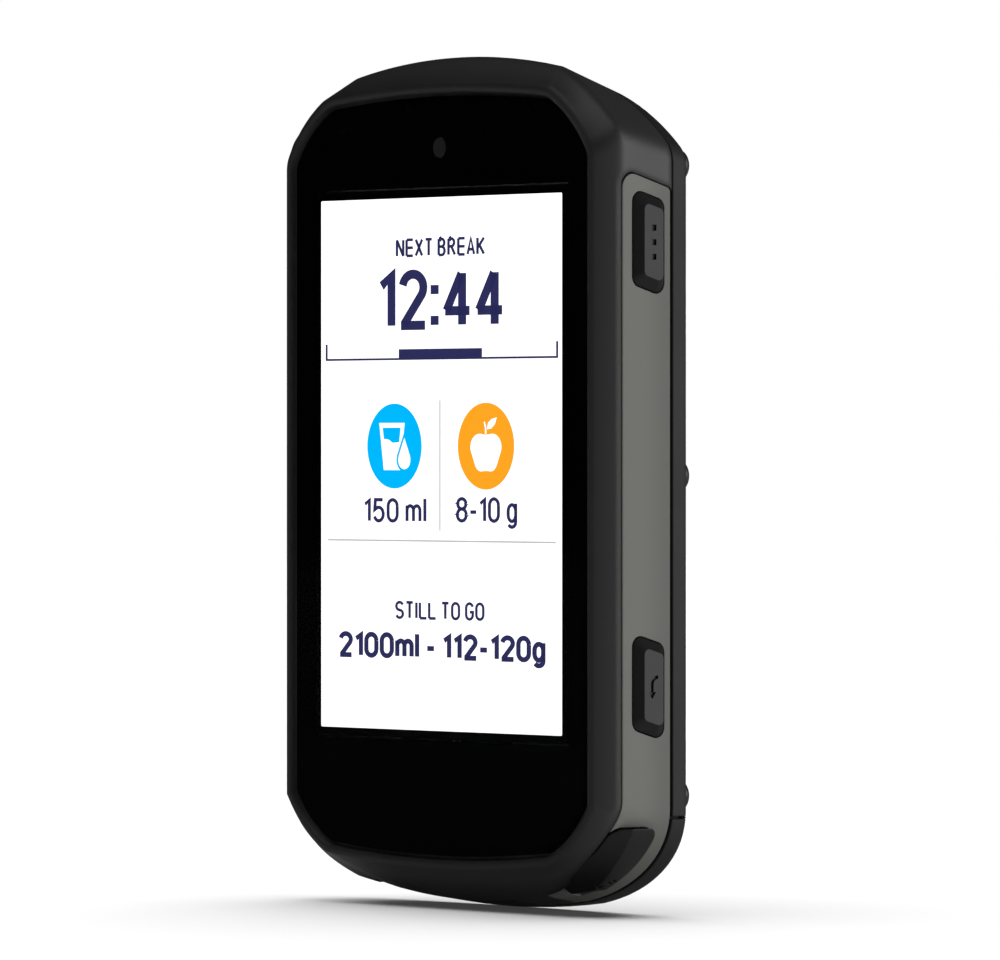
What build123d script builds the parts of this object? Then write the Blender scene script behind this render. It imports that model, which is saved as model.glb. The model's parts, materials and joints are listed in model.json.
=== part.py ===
from build123d import *
import os
from math import atan, cos, sin

# Handlebar cycling computer with a touch screen, seven keys and a quarter-turn mount.
# Millimetres. The screen looks along -Y, +X is the rider's right and +Z is up. The origin
# is the middle of the mount hub's end face, on the back of the computer.

# ---------------------------------------------------------------- driving dimensions
SCREEN_WIDTH, SCREEN_HEIGHT = 39.3, 56.2    # 2.7 inch lit area
SCREEN_Z = 1.7                              # screen centre above the hub's axis

# Depths, from the front (low Y) to the back
GLASS_FRONT = -15.63
RIM = -15.4                 # lip of the housing round the glass
GLASS_BACK = -14.93
LEDGE = -14.63              # shelf that the glass is bonded to
LEDGE_BACK = -13.6
BEVEL_END = -8.4            # plane where the bevel's outline is given; it is trimmed before
FLANGE = -7.1               # rear flange of the housing
HOUSING_BACK = -6.18
COVER_FRONT = -6.0
COVER_INSIDE = -5.3
BACK_FACE = -3.8
HUB_END = 0.0

# Outlines seen from the front, each symmetric about X = 0: an arched top, a sloping
# shoulder, a straight side, a curved haunch and an arched foot
LIP = dict(half_width=24.9, top=41.6, top_corner=(18.3, 40.7), shoulder=34.0, bulge=0.7,
           haunch=-33.8, haunch_pull=(-1.7, -2.6), foot_pull=(2.8, 1.25),
           foot=(18.4, -39.7), bottom=-40.7)
BEVEL = dict(half_width=31.0, top=48.4, top_corner=(14.1, 46.1), shoulder=40.4, bulge=0.7,
             haunch=-35.3, haunch_pull=(-0.5, -5.5), foot_pull=(13.4, 0.65),
             foot=(11.3, -44.85), bottom=-45.8)
FRONT = dict(half_width=26.85, top=45.8, top_corner=(16.35, 44.25), shoulder=36.45, bulge=0.65,
             haunch=-32.55, haunch_pull=(0, -3.7), foot_pull=(7.4, 1.7),
             foot=(12.85, -42.5), bottom=-43.6)
BACK = dict(half_width=26.9, top=41.8, top_corner=(16.5, 40.35), shoulder=33.75, bulge=0.65,
            haunch=-34.2, haunch_pull=(0, -5.6), foot_pull=(7.0, 1.3),
            foot=(14.4, -44.45), bottom=-45.35)
GLASS = dict(half_width=24.05, top=40.7, top_corner=(17.5, 39.8), shoulder=33.7, bulge=0.69,
             haunch=-33.5, haunch_pull=(-1.6, -2.45), foot_pull=(2.65, 1.15),
             foot=(17.7, -38.9), bottom=-39.85)
CAVITY = dict(half_width=24.4, top=41.3, top_corner=(16.0, 39.9), shoulder=32.8, bulge=0.6,
              haunch=-31.3, haunch_pull=(-2.75, -4.1), foot_pull=(4.85, 1.0),
              foot=(13.0, -38.9), bottom=-39.3)
OPENING = dict(half_width=22.2, top=38.6, top_corner=(15.0, 37.4), shoulder=31.4, bulge=0.5,
               haunch=-29.8, haunch_pull=(-2.4, -3.6), foot_pull=(4.2, 0.9),
               foot=(12.0, -36.9), bottom=-37.2)
OUTLINE_ROUND = 3.0                         # rounding of the outlines' corners
CREASE_STEPS = 2                            # facets that soften the crease behind the bevel
CREASE_INSET = 0.12
# Depth and height of points on that crease, down the side and round the haunch
CREASE = ((-13.15, -33.0), (-13.5, -35.6), (-13.65, -38.0), (-13.3, -40.0), (-12.3, -41.5),
          (-10.7, -43.2))

BACK_EDGE = 0.7             # rounding of the back cover's rim
GLASS_GAP = 0.12            # between the glass and its lip
GLASS_ROUND = 2.4
BAND_DEPTH = 0.9            # side bands are let in this far
BAND_INSET = 0.1            # the slots start this far behind the crease
BAND_GAP = 0.16
BAND_BACK = -6.4
BAND_END_X = 12.2           # inner end of a band, under the computer
BAND_TOP = 31.25            # height of a band's slot at the keys' depth
BAND_CORNERS = (1.4, 0.6)   # rounding at its front and back
SKEW = 0.285                # keys and band ends drop this much per mm towards the back

# Side keys
KEY_Y = -9.4
KEY_BASE = (4.15, 9.75)     # across the depth, along the side
KEY_FACE = (2.6, 7.5)
KEY_RISE = 0.95
KEY_CORNER, FACE_CORNER = 1.0, 0.6
KEY_GAP = 0.15
KEY_TRAVEL = 0.35
KEY_FLANGE = (23.7, 24.3)   # the collar that keeps a key in, measured from X = 0
RIGHT_KEYS = {"menu": 24.6, "back": -21.3}
LEFT_KEYS = {"power": 24.6, "up": 10.5, "down": -10.5}

# Corner keys: start on the right and lap on the left, each pivoting near its upper end
CORNER_TOP = -35.9
CORNER_INNER_X = 15.6
CORNER_TAPER = ((12.0, -43.65), (19.2, -42.55))     # flat that lowers the cap's inner end
CORNER_Y = (-13.3, -8.4)    # front and back of the cap
CORNER_CONE = 0.3           # the cap's sloping front lies this far behind the bevel's
CORNER_ROUNDS = (1.1, 1.1)  # rounding of its upper end at front and back
CORNER_RISE = 1.05
CORNER_DEPTH = 0.9
CORNER_ROOM = 0.65          # space below the key for its swing
CORNER_END_GAP = 0.5        # room for the cap's inner end, which moves inwards as it swings
STEM_START = (19.6, -10.75, -40.6)
STEM_DIRECTION = Vector(-0.53, 0, 0.848).normalized()
CORNER_COLLAR = 4.7         # distance of the collar along the stem
CORNER_SYMBOL = (1.2, -0.1)     # place of the start symbol beside the stem, in its frame
CORNER_SYMBOL_TURN = -59

# Symbols sunk in the keys
SYMBOL_DEPTH = 0.3
DOT_PITCH = 1.5
ARROW_LINE = 0.36

# Tact switches
SWITCH = (3.0, 3.0, 1.2)    # along and across the board, height
PLUNGER_RADIUS, PLUNGER_LENGTH = 0.5, 0.8
SWITCH_BORE = 0.8
BOARD_THICKNESS = 0.3

# Screws that hold the back cover
SCREW_X = 24.6
SCREW_Z = (32.7, 0.5, -32.7)
SCREW_HEAD, SCREW_HEAD_HEIGHT = 1.75, 1.3
SPOT_RADIUS, SPOT_DEPTH = 2.15, 0.4
SCREW_SHANK = 0.78
SCREW_BOSS = 1.9

# Quarter-turn mount
HUB_RADIUS = 12.5
TAB_RADIUS = 15.2
TAB_THICKNESS = 1.8
TAB_WIDTH = 15.0
HUB_SEAT = 0.5              # depth of the seat in the back cover
HUB_SCREW_CIRCLE = 8.5

# Port and its cover
SEAM_Z = -34.9
SEAM_GAP = 0.3
SEAM_TONGUE = 0.85          # the back cover reaches this far behind the port cover
SEAM_STEP = -4.4            # depth of the tongue's rear face
SEAM_INSET = 0.6            # the tongue keeps this far inside the sides
PORT_TOP = -40.5
PORT_HALF_WIDTH = 6.6
PORT_FRONT = -9.85
USB = (8.94, 3.2, 7.3)      # width, depth and length of the socket's shell
USB_WALL = 0.3

# Inside
GASKET_FRONT = -6.45
SENSOR_Z = 35.0
PANEL = (41.0, 58.0)
CHASSIS_FRONT, CHASSIS_BACK = -12.6, -11.9
CHASSIS_WALL = (20.9, 21.7)                 # walls behind the key boards, from X = 0
CHASSIS_SCREW_X, CHASSIS_SCREW_Z = 17.0, (33.4, -30.0)
BOARD_FRONT, BOARD_BACK = -10.55, -9.75
FLEX_Z = -28.2
VENT_X, VENT_Z = 12.0, -27.0


# ---------------------------------------------------------------- helpers
def at_depth(y):
    """Plane whose sketches are drawn in X and Z, at depth y."""
    return Plane(origin=(0, y, 0), x_dir=(1, 0, 0), z_dir=(0, -1, 0))


def slab(sketch, front, back):
    """The sketch, in X and Z, extruded between two depths."""
    return extrude(at_depth(back) * sketch, amount=back - front)


def block(x, y, z):
    """A box from its limits along each axis."""
    size = [high - low for low, high in (x, y, z)]
    middle = [(high + low) / 2 for low, high in (x, y, z)]
    return Pos(*middle) * Box(*size)


def post(x, z, radius, front, back):
    """A cylinder along Y."""
    return slab(Pos(x, z) * Circle(radius), front, back)


def bowed(start, end, bulge):
    """An arc from start to end that stands out from its chord by bulge."""
    start, end = Vector(*start), Vector(*end)
    along = (end - start).normalized()
    outward = Vector(-along.Y, along.X)
    return ThreePointArc(start, (start + end) / 2 + outward * bulge, end)


def outline(shape):
    """The closed face of one of the outlines above."""
    top_corner, foot = shape["top_corner"], shape["foot"]
    side_top = (shape["half_width"], shape["shoulder"])
    side_bottom = (shape["half_width"], shape["haunch"])
    haunch_control = tuple(a + b for a, b in zip(side_bottom, shape["haunch_pull"]))
    foot_control = tuple(a + b for a, b in zip(foot, shape["foot_pull"]))
    right = [
        bowed(top_corner, side_top, shape["bulge"]),
        Line(side_top, side_bottom),
        Bezier(side_bottom, haunch_control, foot_control, foot),
    ]
    arch = ThreePointArc((-top_corner[0], top_corner[1]), (0, shape["top"]), top_corner)
    base = ThreePointArc(foot, (0, shape["bottom"]), (-foot[0], foot[1]))
    left = [mirror(edge, about=Plane.YZ) for edge in reversed(right)]
    return make_face([arch, *right, base, *left])


def rounded(face, radius=OUTLINE_ROUND):
    """An outline with the corners at its shoulders and feet rounded off, a pair at a time."""
    pairs = [
        [v.center() for v in face.vertices() if v.Y > 0 and abs(v.X) < 20],
        [v.center() for v in face.vertices() if v.Y > 0 and abs(v.X) > 20],
        [v.center() for v in face.vertices() if v.Y < 0 and abs(v.X) < 20],
    ]
    for places in pairs:
        corners = [v for v in face.vertices()
                   if min((v.center() - place).length for place in places) < 1e-6]
        face = fillet(corners, radius)
    return face


def between(first, second, share):
    """The outline that lies the given share of the way from first to second."""
    def mix(a, b):
        if isinstance(a, tuple):
            return tuple(mix(m, n) for m, n in zip(a, b))
        return a + (b - a) * share

    return {key: mix(first[key], second[key]) for key in first}


def arc_normal(x, rise):
    """Outward normal, at its right end, of an arch of half width x and the given rise."""
    radius = (x ** 2 + rise ** 2) / (2 * rise)
    return Vector(x / radius, (1 - (x / radius) ** 2) ** 0.5)


def turned_left(direction):
    return Vector(-direction.Y, direction.X).normalized()


def grown(shape, amount):
    """The outline moved out by amount all round."""
    top_corner, foot = Vector(*shape["top_corner"]), Vector(*shape["foot"])
    side_top = Vector(shape["half_width"], shape["shoulder"])
    side_bottom = Vector(shape["half_width"], shape["haunch"])

    def moved(point, first_normal, second_normal):
        both = first_normal + second_normal
        return point + both * (amount / (1 + first_normal.dot(second_normal)))

    chord = side_top - top_corner
    half_turn = 2 * atan(2 * shape["bulge"] / chord.length)
    out, along = turned_left(chord), chord.normalized()
    shoulder_start = out * cos(half_turn) - along * sin(half_turn)
    shoulder_end = out * cos(half_turn) + along * sin(half_turn)
    arch = arc_normal(top_corner.X, shape["top"] - top_corner.Y)
    base = arc_normal(foot.X, foot.Y - shape["bottom"])
    new_top = moved(top_corner, arch, shoulder_start)
    new_shoulder = moved(side_top, shoulder_end, Vector(1, 0))
    new_haunch = moved(side_bottom, Vector(1, 0), turned_left(Vector(*shape["haunch_pull"])))
    new_foot = moved(foot, turned_left(-Vector(*shape["foot_pull"])), Vector(base.X, -base.Y))
    shoulder_growth = (new_shoulder - new_top).length / chord.length
    haunch_growth = (new_foot - new_haunch).length / (foot - side_bottom).length
    return dict(
        half_width=new_shoulder.X, top=shape["top"] + amount, top_corner=(new_top.X, new_top.Y),
        shoulder=new_shoulder.Y, bulge=shape["bulge"] * shoulder_growth, haunch=new_haunch.Y,
        haunch_pull=tuple(pull * haunch_growth for pull in shape["haunch_pull"]),
        foot_pull=tuple(pull * haunch_growth for pull in shape["foot_pull"]),
        foot=(new_foot.X, new_foot.Y), bottom=shape["bottom"] - amount)


def tapered(near, far, front, back):
    """Ruled solid between two outlines."""
    return loft([at_depth(front) * rounded(outline(near)), at_depth(back) * rounded(outline(far))],
                ruled=True)


def cone(near, far, shift=0.0):
    """Solid inside a bevel that starts at the rim; behind it there is room for the sides."""
    mouth = tapered(near, far, RIM + shift, BEVEL_END + shift)
    return mouth + slab(rounded(outline(grown(far, 1.0))), BEVEL_END + shift, BACK_FACE + shift)


def prism(inset=0.0):
    """Solid inside the computer's tapering sides."""
    return tapered(grown(FRONT, -inset), grown(BACK, -inset), RIM, BACK_FACE)


def sides_at(y):
    """Outline of the sides at one depth."""
    return between(FRONT, BACK, (y - RIM) / (BACK_FACE - RIM))


def outside():
    """The computer's outer shape, with the crease between bevel and sides softened by
    solids whose slopes lie between the two."""
    body = prism() & cone(LIP, BEVEL)
    for step in range(1, CREASE_STEPS + 1):
        share = step / (CREASE_STEPS + 1)
        near = grown(between(LIP, FRONT, share), -CREASE_INSET)
        far = grown(between(BEVEL, sides_at(BEVEL_END), share), -CREASE_INSET)
        body = body & cone(near, far)
    return body


def oblong(centre, size, radius):
    """Rounded parallelogram in Y and Z, whose upper and lower edges drop to the back."""
    y, z = centre
    half_y, half_z, drop = size[0] / 2, size[1] / 2, SKEW * size[0] / 2
    corners = [(y - half_y, z + half_z + drop), (y + half_y, z + half_z - drop),
               (y + half_y, z - half_z - drop), (y - half_y, z - half_z + drop)]
    face = make_face(Polyline(*corners, close=True))
    return Plane.YZ * fillet(face.vertices(), radius)


def across(face, start, end):
    """A sketch in Y and Z, extruded from X = start to X = end."""
    return extrude(Pos(start, 0, 0) * face, amount=end - start)


def flipped(solid):
    return mirror(solid, about=Plane.YZ)


# ---------------------------------------------------------------- side bands and keys
def behind_crease(gap):
    """Everything on the right that lies at least gap behind the bevel's crease."""
    points = [(y + gap, z) for y, z in CREASE]
    curve = Spline(*points, tangents=[(0, -1), (0.6, -0.8)])
    (top_y, _), (foot_y, _) = points[0], points[-1]
    frame = Polyline(points[-1], (foot_y, -60), (0, -60), (0, 60), (top_y, 60), points[0])
    return across(Plane.YZ * make_face([*curve.edges(), *frame.edges()]), 0, 40)


def below_end(front, back, top, skew, radii):
    """Everything below an upper end with rounded corners between two depths; top is its
    height at the keys' depth."""
    front_top, back_top = (top - skew * (y - KEY_Y) for y in (front, back))
    end = make_face(Polyline((front, front_top), (back, back_top), (back, -60), (front, -60),
                             close=True))
    for y, radius in zip((front, back), radii):
        corner = end.vertices().filter_by(lambda v: abs(v.X - y) < 0.01).sort_by(Axis.Y)[-1]
        end = fillet(corner, radius)
    return across(Plane.YZ * end, 0, 40)


def band_space(body, depth, gap, back, end_x):
    """The strip at the surface of the right side that a band fills, less a gap all round."""
    inset = BAND_INSET + gap
    strip = (body - prism(depth)) & behind_crease(inset)
    strip = strip & block((end_x + gap, 40), (-16, back), (-60, 60))
    (front, haunch) = CREASE[0]
    room = below_end(front + inset, back, BAND_TOP - gap, SKEW, BAND_CORNERS)
    return strip & (room + block((0, 40), (-16, back), (-60, haunch)))


def key_window(z, start=22.0):
    size = [side + 2 * KEY_GAP for side in KEY_BASE]
    return across(oblong((KEY_Y, z), size, KEY_CORNER + KEY_GAP), start, 30)


def side_key(z):
    """One key of the right side: tapered cap, stem and the collar inside the wall."""
    base = oblong((KEY_Y, z), KEY_BASE, KEY_CORNER)
    face = oblong((KEY_Y, z), KEY_FACE, FACE_CORNER)
    surface = FRONT["half_width"]
    cap = loft([Pos(surface, 0, 0) * base, Pos(surface + KEY_RISE, 0, 0) * face])
    stem = across(base, KEY_FLANGE[1], surface)
    collar = across(oblong((KEY_Y, z), (KEY_BASE[0], KEY_BASE[1] + 1.6), KEY_CORNER), *KEY_FLANGE)
    return cap + stem + collar


def key_symbol(sketch, z):
    """Cutter for a symbol sunk in the face of a right-hand key; the sketch is in Y and Z."""
    surface = FRONT["half_width"] + KEY_RISE
    return across(Plane.YZ * (Pos(KEY_Y, z) * sketch), surface - SYMBOL_DEPTH, surface + 1)


def menu_symbol():
    """Three square dots in a row."""
    return [Pos(0, step * DOT_PITCH) * Rectangle(0.6, 0.6) for step in (-1, 0, 1)]


def back_symbol():
    """Arrow that curves over and points down."""
    shaft = Line((-0.26, -0.6), (-0.26, 0.3))
    bend = ThreePointArc((-0.26, 0.3), (-0.03, 0.83), (0.55, 1.03))
    head = make_face(Polyline((-0.76, -0.5), (0.24, -0.5), (-0.26, -1.2), close=True))
    return [trace(shaft + bend, ARROW_LINE), head]


def side_frame(z):
    """Frame of a right-hand switch: its local Z points in, from the key's collar."""
    return Plane(origin=(KEY_FLANGE[0], KEY_Y, z), x_dir=(0, 1, 0), z_dir=(-1, 0, 0))


def corner_block(rise, depth, gap=0.0, end_gap=0.0):
    """Strip round the lower right corner, from depth below the sides to rise above them,
    as deep from front to back as the key there, with a gap round it. The wall of the
    band's slot bounds the front of the gap."""
    front, back = CORNER_Y[0] - 2 * gap, CORNER_Y[1] + gap
    sides = sides_at(STEM_START[1])
    ring = slab(outline(grown(sides, rise)), front, back)
    ring -= slab(outline(grown(sides, -depth)), front, back)
    ring = ring & block((CORNER_INNER_X - end_gap, 40), (front, back), (-60, 0))
    ring = ring & below_end(front, back, CORNER_TOP + gap, 0, [r + gap for r in CORNER_ROUNDS])
    return ring & behind_crease(BAND_INSET)


def corner_taper():
    """Everything inside the flat that lowers the inner end of the corner key."""
    (inner, low), (outer, high) = CORNER_TAPER
    side = Polyline((inner, low), (outer, high), (outer, -60), (40, -60), (40, 0), (inner, 0),
                    close=True)
    return slab(make_face(side), -16, 0)


def stem_frame(distance):
    """Frame on the corner key's stem: local X is the computer's Y and local Z points in."""
    start = Vector(*STEM_START)
    return Plane(origin=start + STEM_DIRECTION * distance, x_dir=(0, 1, 0), z_dir=STEM_DIRECTION)


def corner_stem(radius, start, end):
    """A round bar along the corner key's stem, between two distances."""
    return extrude(stem_frame(start) * Circle(radius), amount=end - start)


def corner_key():
    """The start key without its symbol; its cap wraps round the lower right corner."""
    cap = corner_block(CORNER_RISE, CORNER_DEPTH) & cone(LIP, BEVEL, CORNER_CONE) & corner_taper()
    stem = corner_stem(1.1, -0.4, CORNER_COLLAR + 0.5)
    return cap + stem + corner_stem(1.7, CORNER_COLLAR, CORNER_COLLAR + 0.5)


def start_symbol():
    """Cutters for a play triangle and a pause sign in the start key's cap."""
    sides = sides_at(STEM_START[1])
    skin = slab(outline(grown(sides, CORNER_RISE + 1)), *CORNER_Y)
    skin -= slab(outline(grown(sides, CORNER_RISE - SYMBOL_DEPTH)), *CORNER_Y)
    triangle = make_face(Polyline((-1.05, -0.5), (-1.05, 0.5), (-0.25, 0), close=True))
    shapes = [triangle] + [Pos(x, 0) * Rectangle(0.28, 1.0) for x in (0.35, 0.9)]
    frame = stem_frame(-5) * Pos(*CORNER_SYMBOL) * Rot(0, 0, CORNER_SYMBOL_TURN)
    return [extrude(frame * sketch, amount=10) & skin for sketch in shapes]


def corner_pocket():
    """Room in the housing for the start key and its stem."""
    cut = corner_block(CORNER_RISE + 1, CORNER_DEPTH + CORNER_ROOM, KEY_GAP, CORNER_END_GAP)
    return cut + corner_stem(1.5, -1, CORNER_COLLAR + 0.5)


def corner_frame():
    """Frame of the corner key's switch, at the inner side of the collar."""
    return stem_frame(CORNER_COLLAR + 0.5)


def plunger(frame):
    return extrude(frame * Circle(PLUNGER_RADIUS), amount=PLUNGER_LENGTH)


def switch(frame):
    """Switch housing that stands off the collar by more than the key's travel."""
    stand_off = KEY_TRAVEL + 0.15
    body = Pos(0, 0, stand_off + SWITCH[2] / 2) * Box(*SWITCH)
    bore = Pos(0, 0, stand_off + 0.4) * Cylinder(SWITCH_BORE, 0.8)
    return frame * (body - bore)


# ---------------------------------------------------------------- housings
def front_housing(body, band_slot):
    """Bezel, sides and rear flange in one piece."""
    housing = body & block((-40, 40), (-20, HOUSING_BACK), (-60, 60))
    glass_seat = rounded(outline(grown(GLASS, GLASS_GAP)), GLASS_ROUND)
    housing -= slab(glass_seat, GLASS_FRONT - 1, LEDGE)
    screen = Pos(0, SCREEN_Z) * Rectangle(SCREEN_WIDTH + 3.1, SCREEN_HEIGHT + 3.4)
    housing -= slab(screen, LEDGE, LEDGE_BACK)
    housing -= post(0, SENSOR_Z, 1.6, LEDGE, LEDGE_BACK)
    housing -= slab(outline(CAVITY), LEDGE_BACK, FLANGE)
    housing -= slab(outline(OPENING), FLANGE, HOUSING_BACK)
    cuts = [band_slot, flipped(band_slot), corner_pocket(), flipped(corner_pocket())]
    cuts += [key_window(z) for z in RIGHT_KEYS.values()]
    cuts += [flipped(key_window(z)) for z in LEFT_KEYS.values()]
    for cut in cuts:
        housing -= cut
    for side in (-1, 1):
        for z in SCREW_Z:
            boss = post(side * SCREW_X, z, SCREW_BOSS, -11.9, HOUSING_BACK)
            housing += boss & prism(BAND_DEPTH)
            housing -= post(side * SCREW_X, z, 0.8, -11.0, HOUSING_BACK)
        for z in CHASSIS_SCREW_Z:
            housing += post(side * CHASSIS_SCREW_X, z, 1.6, LEDGE_BACK - 0.2, CHASSIS_FRONT)
            housing -= post(side * CHASSIS_SCREW_X, z, 0.62, LEDGE_BACK - 0.1, CHASSIS_FRONT)
    port = block((-PORT_HALF_WIDTH, PORT_HALF_WIDTH), (PORT_FRONT, 0), (-60, PORT_TOP))
    housing -= port
    housing -= usb_outline(0.08, PORT_TOP - 1, PORT_TOP + USB[2] + 1)
    return housing - gasket_ring(0.05, HOUSING_BACK)


def gasket_ring(room, back):
    """Flat ring just inside the cover screws."""
    outer = slab(outline(grown(OPENING, 1.0 + room)), GASKET_FRONT, back)
    return outer - slab(outline(grown(OPENING, 0.4 - room)), GASKET_FRONT, back)


def back_shell(body):
    """Everything behind the housing, with its rim rounded, before it is split."""
    shell = body & block((-40, 40), (COVER_FRONT, 0), (-60, 60))
    rim = shell.faces().sort_by(Axis.Y)[-1].edges()
    return fillet(rim, BACK_EDGE)


def back_cover(shell):
    """Back plate with its screw seats and the seat of the mount."""
    cover = shell & block((-40, 40), (-20, 0), (SEAM_Z + SEAM_GAP / 2, 60))
    cover += prism(SEAM_INSET) & block((-40, 40), (COVER_FRONT, SEAM_STEP), (SEAM_Z - SEAM_TONGUE, SEAM_Z + 1))
    hollow = slab(outline(grown(OPENING, -0.6)), COVER_FRONT, COVER_INSIDE)
    cover -= hollow & block((-40, 40), (COVER_FRONT, COVER_INSIDE), (SEAM_Z + 2, 60))
    cover += post(0, 0, 13.5, COVER_FRONT, COVER_INSIDE + 0.1)
    cover -= post(0, 0, HUB_RADIUS + 0.05, BACK_FACE - HUB_SEAT, HUB_END)
    for x, z in hub_screw_places():
        cover -= post(x, z, 0.6, COVER_FRONT, BACK_FACE)
    for side in (-1, 1):
        for z in SCREW_Z:
            cover -= post(side * SCREW_X, z, SPOT_RADIUS, BACK_FACE - SPOT_DEPTH, HUB_END)
            cover -= post(side * SCREW_X, z, 0.95, COVER_FRONT, BACK_FACE)
    return cover - post(VENT_X, VENT_Z, 0.5, COVER_FRONT, BACK_FACE)


def port_cover(shell):
    """Rubber flap at the bottom of the back, with the plug that fills the port's mouth."""
    flap = shell & block((-40, 40), (-20, 0), (-60, SEAM_Z - SEAM_GAP / 2))
    notch = block((-40, 40), (COVER_FRONT, SEAM_STEP + 0.1), (SEAM_Z - SEAM_TONGUE - 0.15, SEAM_Z))
    flap -= prism(SEAM_INSET - 0.1) & notch
    room = 0.25
    plug = block((room - PORT_HALF_WIDTH, PORT_HALF_WIDTH - room), (PORT_FRONT + room, COVER_FRONT),
                 (-60, PORT_TOP - room))
    return flap + (plug & prism())


def case_screws():
    """Six domed screws; each solid is one screw."""
    screws = []
    seat = BACK_FACE - SPOT_DEPTH
    for side in (-1, 1):
        for z in SCREW_Z:
            head = post(side * SCREW_X, z, SCREW_HEAD, seat, seat + SCREW_HEAD_HEIGHT)
            head = fillet(head.faces().sort_by(Axis.Y)[-1].edges(), 0.6)
            head -= slab(Pos(side * SCREW_X, z) * RegularPolygon(0.75, 6), seat + 0.6, seat + 2)
            screws.append(head + post(side * SCREW_X, z, SCREW_SHANK, -10.6, seat))
    return screws


# ---------------------------------------------------------------- quarter-turn mount
def hub_screw_places():
    return [(HUB_SCREW_CIRCLE * x, HUB_SCREW_CIRCLE * z)
            for x, z in ((0.7071, 0.7071), (-0.7071, 0.7071), (-0.7071, -0.7071), (0.7071, -0.7071))]


def mount_insert():
    """Hub with a tab on each side, which locks in a handlebar mount after a quarter turn."""
    wings = Circle(HUB_RADIUS) + (Circle(TAB_RADIUS) & Rectangle(2 * TAB_RADIUS, TAB_WIDTH))
    wings = slab(fillet(wings.vertices(), 0.8), HUB_END - TAB_THICKNESS, HUB_END)
    wings = chamfer(wings.faces().sort_by(Axis.Y)[-1].edges(), 0.3)
    hub = wings + post(0, 0, HUB_RADIUS, BACK_FACE - HUB_SEAT, HUB_END - TAB_THICKNESS)
    for x, z in hub_screw_places():
        hub -= post(x, z, 1.3, HUB_END - 1.3, HUB_END)
        hub -= post(x, z, 0.75, BACK_FACE - HUB_SEAT, HUB_END)
    return hub


def mount_screws():
    """Four small screws; each solid is one screw."""
    screws = []
    for x, z in hub_screw_places():
        head = post(x, z, 1.2, HUB_END - 1.3, HUB_END - 0.3)
        head -= slab(Pos(x, z) * RegularPolygon(0.55, 6), HUB_END - 0.9, HUB_END)
        screws.append(head + post(x, z, 0.58, COVER_FRONT + 0.2, HUB_END - 1.3))
    return screws


# ---------------------------------------------------------------- inside
def usb_outline(room, low, high):
    """Bar with the charging socket's section, along Z."""
    width, depth, _ = USB
    middle_y = BOARD_BACK + 0.03 + depth / 2
    section = RectangleRounded(width + 2 * room, depth + 2 * room, depth / 2 + room - 0.05)
    return extrude(Pos(0, middle_y, low) * section, amount=high - low)


def usb_shell():
    shell = usb_outline(0, PORT_TOP, PORT_TOP + USB[2])
    return shell - usb_outline(-USB_WALL, PORT_TOP - 1, PORT_TOP + USB[2] - USB_WALL)


def usb_tongue():
    middle_y = BOARD_BACK + 0.03 + USB[1] / 2
    return block((-3.35, 3.35), (middle_y - 0.35, middle_y + 0.35),
                 (PORT_TOP + 1, PORT_TOP + USB[2] - USB_WALL))


def glass_adhesive():
    frame = slab(rounded(outline(grown(GLASS, -0.3)), GLASS_ROUND), GLASS_BACK, LEDGE)
    frame -= slab(Pos(0, SCREEN_Z) * Rectangle(PANEL[0] + 0.3, PANEL[1] + 0.3), GLASS_BACK, LEDGE)
    return frame - post(0, SENSOR_Z, 1.15, GLASS_BACK, LEDGE)


def panel_layer(front, back):
    return slab(Pos(0, SCREEN_Z) * RectangleRounded(*PANEL, 0.6), front, back)


def light_sensor():
    window = post(0, SENSOR_Z, 1.05, GLASS_BACK, LEDGE)
    return window + block((-1.1, 1.1), (LEDGE, -13.8), (SENSOR_Z - 0.8, SENSOR_Z + 0.8))


def chassis():
    """Plate behind the display, with a wall for each key board and a post at each screw."""
    plate = slab(Pos(0, 1.7) * RectangleRounded(2 * CHASSIS_WALL[1], 67.4, 4), CHASSIS_FRONT,
                 CHASSIS_BACK)
    for side in (-1, 1):
        wall_x = sorted(side * x for x in CHASSIS_WALL)
        plate += block(wall_x, (CHASSIS_BACK, -7.4), (-26, 29))
        for z in CHASSIS_SCREW_Z:
            plate += post(side * CHASSIS_SCREW_X, z, 1.5, CHASSIS_BACK, BOARD_FRONT)
            plate -= post(side * CHASSIS_SCREW_X, z, 0.7, CHASSIS_FRONT, BOARD_FRONT)
    return plate - block((-9, 9), (-20, 0), (FLEX_Z - 0.8, FLEX_Z + 0.8))


def main_board():
    board = Pos(0, 1.45) * Rectangle(40.8, 68.1) + Pos(0, -34) * Rectangle(21, 9)
    for side in (-1, 1):
        for z in CHASSIS_SCREW_Z:
            board -= Pos(side * CHASSIS_SCREW_X, z) * Circle(0.7)
    board -= Pos(0, FLEX_Z) * Rectangle(17.4, 1.0)
    return slab(board, BOARD_FRONT, BOARD_BACK)


def shield_cans():
    return [slab(Pos(side * 14.9, 23.6) * RectangleRounded(9.6, 15.0, 0.5), BOARD_BACK, -8.0)
            for side in (-1, 1)]


def chassis_screws():
    screws = []
    for side in (-1, 1):
        for z in CHASSIS_SCREW_Z:
            head = post(side * CHASSIS_SCREW_X, z, 1.2, BOARD_BACK, BOARD_BACK + 0.6)
            screws.append(head + post(side * CHASSIS_SCREW_X, z, 0.6, -13.5, BOARD_BACK))
    return screws


def battery():
    return slab(Pos(0, -2.0) * RectangleRounded(36, 35, 1.5), BOARD_BACK + 0.1, -6.3)


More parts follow.
